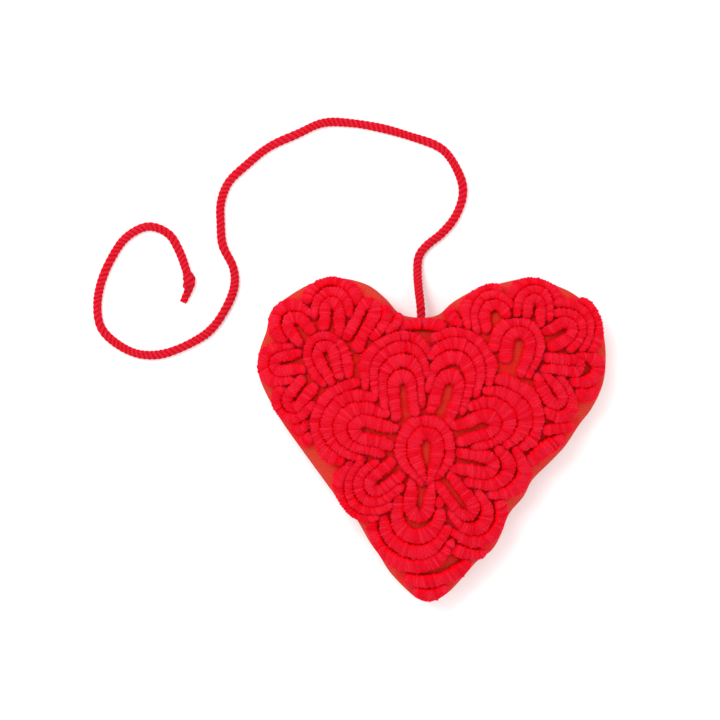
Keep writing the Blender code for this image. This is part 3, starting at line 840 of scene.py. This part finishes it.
class HEART_OT_pad(bpy.types.Operator):
    """Makes the stuffed cloth heart."""

    bl_idname = "heart.pad"
    bl_label = "Make Stuffed Heart"

    def execute(self, context):
        rings = stuffed_surface()
        count = len(rings)
        top = np.array([*PUFF, BACK_DEPTH + FACE_BULGE + CLOTH_RISE])
        from_top = np.concatenate([np.tile(top, (1, PAD_RAYS, 1)), rings])
        reach = np.cumsum(np.linalg.norm(np.diff(from_top, axis=0), axis=2), axis=0)
        outward = unit_rows(rings[FACE_RINGS - 1, :, :2] - PUFF)
        cloth = np.concatenate([reach[..., None] * outward, np.zeros((count, PAD_RAYS, 1))], axis=2)
        points = np.concatenate([rings.reshape(-1, 3), [top]])
        faces = tube_faces(count, PAD_RAYS, closed_ends=False)
        faces += [[count * PAD_RAYS, k, (k + 1) % PAD_RAYS] for k in range(PAD_RAYS)]
        faces.append([(count - 1) * PAD_RAYS + k for k in reversed(range(PAD_RAYS))])
        marks = {
            "cloth": np.concatenate([cloth.reshape(-1, 3), [(0.0, 0.0, 0.0)]]) / MM,
            "beside_wool": beside_wool(points),
        }
        material = cloth_material(context.scene.heart_colours, context.scene.heart_sizes)
        made = piece("stuffed_heart", points, faces, material, marks)
        stand_for(made, "heart_pad")
        return {"FINISHED"}


def run_on(line, others):
    """The line with its last end run on, straight, until it meets what lies beyond it."""
    ahead = unit_rows(line[-1:] - line[-2:-1])
    further = line[-1] + ahead * np.arange(LEAST_RUN_ON, MOST_RUN_ON, LINE_STEP)[:, None]
    gap = np.linalg.norm(others[None] - further[:, None], axis=2).min(axis=1)
    met = np.nonzero(gap < MEETING)[0]
    end = met[0] if len(met) else -1
    return np.concatenate([line, further[end][None]])


def nearest_on_side(points, sideways, others, apart=None):
    """How far the nearest of the others lies on one side of each point."""
    away = others[None] - points[:, None]
    distance = np.linalg.norm(away, axis=2)
    facing = (away * sideways[:, None]).sum(axis=2) > FACING * distance
    if apart is not None:
        facing &= apart
    return np.where(facing, distance, np.inf).min(axis=1)


def room_beside(line, others, sideways):
    """How wide the yarn lies on one side of a stitch: it fills the room that its neighbours leave."""
    run = run_of(line)
    apart = np.abs(run[:, None] - run[None]) > OWN_TURN
    own = nearest_on_side(line, sideways, line, apart)
    other = nearest_on_side(line, sideways, others)
    rim = nearest_on_side(line, sideways, RIM)
    nearest = np.minimum(own, other)
    most = np.where(rim < nearest, RIM_ROOM, np.where(own < other, OWN_ROOM, MOST_ROOM))
    room = np.minimum(nearest / 2 + PRESSED, np.minimum(rim, most))
    room = np.maximum(room, LEAST_ROOM)
    blur = np.ones(2 * ROOM_BLUR + 1) / (2 * ROOM_BLUR + 1)
    return np.convolve(np.pad(room, ROOM_BLUR, mode="edge"), blur, mode="valid")


def face_normal(points):
    """The direction that the stuffed face looks in at each point, eased off at its steep rim."""
    points = PUFF + (points - PUFF) * INSIDE_RIM
    slopes = [
        (face_height(points + step) - face_height(points - step)) / (2 * SLOPE_STEP)
        for step in np.eye(2) * SLOPE_STEP
    ]
    slope = np.stack(slopes, axis=1)
    steep = np.linalg.norm(slope, axis=1, keepdims=True)
    slope *= np.minimum(1.0, STEEPEST / np.maximum(steep, TINY))
    return unit_rows(np.column_stack([-slope, np.ones(len(slope))]))


def turns_of_yarn(length, sizes, rng):
    """The distances along a stitch, the turn of yarn at each, and its height from groove to ridge."""
    wraps = max(FEWEST_WRAPS, round(length / sizes.wrap_width))
    widths = 1 + sizes.unevenness * rng.standard_normal(wraps)
    widths = np.clip(widths, NARROWEST_WRAP, WIDEST_WRAP)
    starts = np.concatenate([[0.0], np.cumsum(widths)]) * length / widths.sum()
    phase = np.arange(WRAP_STEPS) / WRAP_STEPS
    along = (starts[:-1, None] + np.diff(starts)[:, None] * phase).ravel()
    along = np.append(along, length)
    wrap = np.minimum(np.arange(len(along)) // WRAP_STEPS, wraps - 1)
    ridge = np.append(np.tile(np.sin(pi * phase), wraps), 0.0)
    return along, wrap, ridge


def stitch_spine(line, along, tuck, sizes, rng):
    """A stitch's middle line over the face, tucked in at its ends, and the way that the face looks there."""
    plan = at(line, along)
    plan += leftwards(plan) * wander(rng, along, STITCH_SWAY)[:, None]
    upright = face_normal(plan)
    lift = sizes.stitch_radius / upright[:, 2] + wander(rng, along, STITCH_HEAVE)
    outward = np.column_stack([unit_rows(plan - PUFF), np.zeros(len(plan))])
    inward = -unit_rows(upright + TUCK_SPREAD * (1 - upright[:, 2:]) * outward)
    centre = np.column_stack([plan, stitch_floor(plan) + lift])
    return centre + inward * (sizes.tuck_depth * tuck)[:, None], upright


def wool_marks(shape, lay, tone, ridge):
    """What the wool's material reads at each point: its place on the yarn, its tone, and its ridges, which
    set its painted light and shade.
    """
    lay = np.stack([np.broadcast_to(axis, shape) for axis in lay], axis=-1).reshape(-1, 3)
    tone, ridge = (np.broadcast_to(values, shape).ravel() for values in (tone, ridge))
    return {"lay": lay, "tone": tone, "ridge": ridge}


def wrapped_stitch(line, others, sizes, rng):
    """One stitch: yarn wrapped round and round along the line, its ends tucked into the cloth."""
    length = run_of(line)[-1]
    along, wrap, ridge = turns_of_yarn(length, sizes, rng)
    wraps = wrap[-1] + 1
    tuck = (1 - eased(along / sizes.tuck_length)) + (1 - eased((length - along) / sizes.tuck_length))
    centre, upright = stitch_spine(line, along, tuck, sizes, rng)
    ahead, side, up = directions(centre, upright)

    wider, shifted, leaning = sizes.unevenness * rng.standard_normal((3, wraps))
    girth = (1 + LOOSE_GIRTH * wider[wrap]) * (1 - END_TAPER * np.clip(tuck, 0, 1))
    groove = sizes.wrap_groove * (1 - ridge)
    known = np.linspace(0.0, 1.0, len(line))
    left, right = (
        np.interp(along / length, known, room_beside(line, others, sideways)) * girth - groove
        for sideways in (leftwards(line), -leftwards(line))
    )
    tall = sizes.stitch_radius * girth - groove
    lean = sizes.wrap_width * (USUAL_LEAN + LOOSE_LEAN * leaning[wrap] + wander(rng, along, LEAN_DRIFT))

    turn = np.linspace(0.0, 2 * pi, WRAP_SIDES, endpoint=False)
    centre = centre + side * (LOOSE_SHIFT * shifted[wrap] * ridge)[:, None]
    wide = np.where(np.cos(turn) > 0, right[:, None], left[:, None]) * np.cos(turn)
    high = tall[:, None] * np.sin(turn)
    forward = lean[:, None] * np.cos(turn)
    points = (
        centre[:, None] + wide[..., None] * side[:, None] + high[..., None] * up[:, None]
        + forward[..., None] * ahead[:, None]
    )
    lay = (along[:, None] / MM, sizes.stitch_radius * turn / MM, (wrap * WRAP_APART)[:, None])
    tone = rng.random(wraps)[wrap][:, None]
    # Painted light and shade: the grooves between turns and the flanks down to the cloth get the painted
    # groove colour.
    crown_paint_mask = GROOVE_PAINT_MARK + (1 - GROOVE_PAINT_MARK) * ridge[:, None]
    crown_paint_mask = crown_paint_mask * np.maximum(np.sin(turn), 0.0) ** FLANK_PAINT_FALL
    marks = wool_marks(points.shape[:2], lay, tone, crown_paint_mask)
    return points.reshape(-1, 3), tube_faces(len(along), WRAP_SIDES), marks


def joined(parts):
    """Several runs of points, faces and marks as one."""
    points, faces, marks = [], [], {}
    first = 0
    for own_points, own_faces, own_marks in parts:
        points.append(own_points)
        faces += [[first + k for k in face] for face in own_faces]
        for mark, values in own_marks.items():
            marks.setdefault(mark, []).append(values)
        first += len(own_points)
    marks = {mark: np.concatenate(values) for mark, values in marks.items()}
    return np.concatenate(points), faces, marks


def stitch_lines():
    """Every stitch's centre-line, with the node that it belongs to."""
    lines = [(node, row_line(petal, row)) for node, petal in PETALS.items() for row in petal.rows]
    lines += [(node, arc_line(arc)) for node, arc in ARCS.items()]
    lines = [(node, by_step(on_face(line))) for node, line in lines]
    longer = []
    for k, (node, line) in enumerate(lines):
        others = np.concatenate([RIM] + [other for j, (_, other) in enumerate(lines) if j != k])
        line = run_on(run_on(line, others)[::-1], others)[::-1]
        longer.append((node, by_step(line)))
    return longer


def make_stitches(nodes, sizes):
    """Each node's wrapped stitches as one piece that stands for it."""
    lines = stitch_lines()
    for node in nodes:
        rng = np.random.default_rng([ord(letter) for letter in node])
        parts = []
        for k, (owner, line) in enumerate(lines):
            if owner == node:
                others = np.concatenate([other for j, (_, other) in enumerate(lines) if j != k])
                parts.append(wrapped_stitch(line, others, sizes, rng))
        points, faces, marks = joined(parts)
        made = piece(f"{node}_wraps", points, faces, embroidery_wool(), marks)
        stand_for(made, node)


class HEART_OT_petals(bpy.types.Operator):
    """Makes the nested wrapped stitches of the three flowers."""

    bl_idname = "heart.petals"
    bl_label = "Make Flower Petals"

    def execute(self, context):
        make_stitches(PETALS, context.scene.heart_sizes)
        return {"FINISHED"}


class HEART_OT_single_stitches(bpy.types.Operator):
    """Makes the single wrapped stitches between and around the flowers."""

    bl_idname = "heart.single_stitches"
    bl_label = "Make Single Stitches"

    def execute(self, context):
        make_stitches(ARCS, context.scene.heart_sizes)
        return {"FINISHED"}


def strand_outline(strands, turns, diameter):
    """How far the cord's surface is from its middle at each turn round it, and how near a strand's crest."""
    strand = diameter * STRAND_RADIUS
    offset = diameter / 2 - strand
    local = (turns * strands / (2 * pi) % 1.0 - 0.5) * 2 * pi / strands
    reach = offset * np.cos(local) + np.sqrt(np.maximum(strand**2 - (offset * np.sin(local)) ** 2, 0.0))
    return reach, (reach - reach.min()) / (reach.max() - reach.min())


def twisted_tube(path, diameter, sizes, rng, girth=(1.0, 1.0)):
    """A cord of twisted strands along a path, and the marks that its wool needs."""
    length = run_of(path)[-1]
    count = ceil(length / CORD_STEP)
    centre = even(path, count)
    along = np.linspace(0.0, length, count)
    ahead, side, up = directions(centre)
    sides = CORD_SIDES_PER_STRAND * sizes.cord_strands
    turns = np.linspace(0.0, 2 * pi, sides, endpoint=False)
    reach, crest = strand_outline(sizes.cord_strands, turns, diameter)
    twist = 2 * pi * along / sizes.cord_twist + wander(rng, along, TWIST_DRIFT)
    angle = turns[None, :] - twist[:, None]
    thickness = 1 + wander(rng, along, THICKNESS_DRIFT)
    thickness = thickness * np.interp(along / along[-1], np.linspace(0, 1, len(girth)), girth)
    out = reach[None, :] * thickness[:, None]
    points = centre[:, None] + out[..., None] * (
        np.cos(angle)[..., None] * side[:, None] + np.sin(angle)[..., None] * up[:, None])
    place = turns * sizes.cord_strands / (2 * pi)
    strand = np.floor(place + TINY)
    lay = (place % 1.0 * diameter / MM, along[:, None] * CORD_LAY / MM, strand * STRAND_APART)
    tone = (CORD_TONE + wander(rng, along, TONE_DRIFT))[:, None]
    # Painted shade: the strands' crest mark darkens the cord between its strands.
    marks = wool_marks(points.shape[:2], lay, tone, crest)
    return points.reshape(-1, 3), tube_faces(count, sides), marks


def route_metres(route):
    """A route's points as metres in the frame."""
    route = np.asarray(route, float)
    return np.column_stack([on_face(route[:, :2]), route[:, 2] * UNIT])


def kept_up(path, lowest):
    """The path with no point of it under the lowest height."""
    return np.column_stack([path[:, :2], np.maximum(path[:, 2], lowest)])


class HEART_OT_cord(bpy.types.Operator):
    """Makes the twisted hanging cord, and the knot and tail at its end."""

    bl_idname = "heart.cord"
    bl_label = "Make Hanging Cord"

    def execute(self, context):
        sizes = context.scene.heart_sizes
        rng = np.random.default_rng(CORD_SEED)
        knot = self.make_knot(sizes, rng)
        path = smooth_open(route_metres([TUCKED_CORD] + CORD_ROUTE), ROUTE_STEPS)
        path = kept_up(path, sizes.cord_diameter * CORD_REST)
        points, faces, marks = twisted_tube(path, sizes.cord_diameter, sizes, rng)
        cord = piece("twisted_cord", points, faces, cord_wool(), marks)
        stand_for(cord, "hanging_cord")
        return {"FINISHED"}

    def make_knot(self, sizes, rng):
        """An overhand knot: the cord runs through it, and a thinner loop of it lies round itself."""
        diameter = sizes.cord_diameter
        path = kept_up(smooth_open(route_metres(KNOT_ROUTE), ROUTE_STEPS), diameter * CORD_REST)
        core = twisted_tube(path, diameter, sizes, rng, KNOT_GIRTH)
        spine = at(path, np.linspace(LOOP_FROM, LOOP_TO, LOOP_POINTS) * run_of(path)[-1])
        _, side, up = directions(spine)
        share = np.linspace(0.0, 1.0, LOOP_POINTS)
        turn = 2 * pi * (LOOP_START + LOOP_TURNS * share)
        away = diameter * LOOP_REACH * np.sin(pi * share) ** LOOP_ROUNDNESS
        loop = spine + (side * np.cos(turn)[:, None] + up * np.sin(turn)[:, None]) * away[:, None]
        loop = kept_up(loop, diameter * LOOP_REST)
        wrapped = twisted_tube(loop, diameter * LOOP_DIAMETER, sizes, rng, LOOP_GIRTH)
        points, faces, marks = joined([core, wrapped])
        made = piece("knot_and_tail", points, faces, cord_wool(), marks)
        stand_for(made, "cord_knot")
        return made


def hang(lamp, target):
    """Hangs a lamp so that it looks at the target."""
    light = bpy.data.lights.new(lamp.name, "AREA")
    light.size = lamp.size
    light.energy = lamp.power
    made = bpy.data.objects.new(lamp.name, light)
    away = Vector(lamp.away)
    made.location = target + away
    made.rotation_mode = "QUATERNION"
    made.rotation_quaternion = (-away).to_track_quat("-Z", "Y")
    bpy.context.scene.collection.objects.link(made)


class HEART_OT_stage(bpy.types.Operator):
    """Makes the camera, the soft lights and the plain pale floor."""

    bl_idname = "heart.stage"
    bl_label = "Make Stage"

    def execute(self, context):
        scene = context.scene
        scene.view_settings.view_transform = "Standard"
        centre = Vector((*on_face(VIEW_CENTRE), VIEW_HEIGHT))
        lens = bpy.data.cameras.new("camera")
        lens.sensor_width = SENSOR_WIDTH
        lens.lens = lens.sensor_width * VIEW_DISTANCE / (VIEW_WIDTH * UNIT)
        lens.clip_start = NEAREST_SEEN
        camera = bpy.data.objects.new("camera", lens)
        camera.location = centre + Vector((0.0, 0.0, VIEW_DISTANCE))
        scene.collection.objects.link(camera)
        scene.camera = camera

        shader, surface, paper = new_material("pale_floor")
        shader.fill(surface, {"Base Color": colour(scene.heart_colours.floor), "Roughness": 0.9})
        square = ((-1, -1), (1, -1), (1, 1), (-1, 1))
        corners = [(x * FLOOR_REACH, y * FLOOR_REACH, 0.0) for x, y in square]
        floor = piece("floor", corners, [[0, 1, 2, 3]], paper)

        world = bpy.data.worlds.new("soft_room")
        scene.world = world
        world.use_nodes = True
        background = world.node_tree.nodes["Background"].inputs
        background["Color"].default_value = colour((1.0, 1.0, 1.0))
        background["Strength"].default_value = ROOM_LIGHT
        for lamp in LAMPS:
            hang(lamp, centre)
        return {"FINISHED"}


OPERATORS = (HEART_OT_stage, HEART_OT_cord, HEART_OT_pad, HEART_OT_petals, HEART_OT_single_stitches)


class HEART_PT_panel(bpy.types.Panel):
    """Lists the heart's sizes, colours and pieces."""

    bl_idname = "HEART_PT_panel"
    bl_label = "Embroidered Heart"
    bl_space_type = "VIEW_3D"
    bl_region_type = "UI"
    bl_category = "Heart"

    def draw(self, context):
        for group in (context.scene.heart_sizes, context.scene.heart_colours):
            box = self.layout.box()
            for name in group.__annotations__:
                box.prop(group, name)
        for operator in OPERATORS:
            self.layout.operator(operator.bl_idname)


CLASSES = (HeartSizes, HeartColours, *OPERATORS, HEART_PT_panel)


def register():
    for made in CLASSES:
        bpy.utils.register_class(made)
    bpy.types.Scene.heart_sizes = PointerProperty(type=HeartSizes)
    bpy.types.Scene.heart_colours = PointerProperty(type=HeartColours)


def unregister():
    del bpy.types.Scene.heart_colours
    del bpy.types.Scene.heart_sizes
    for made in reversed(CLASSES):
        bpy.utils.unregister_class(made)


def main():
    register()
    bpy.ops.heart.stage()
    bpy.ops.heart.cord()
    bpy.ops.heart.pad()
    bpy.ops.heart.petals()
    bpy.ops.heart.single_stitches()


if __name__ == "__main__":
    main()
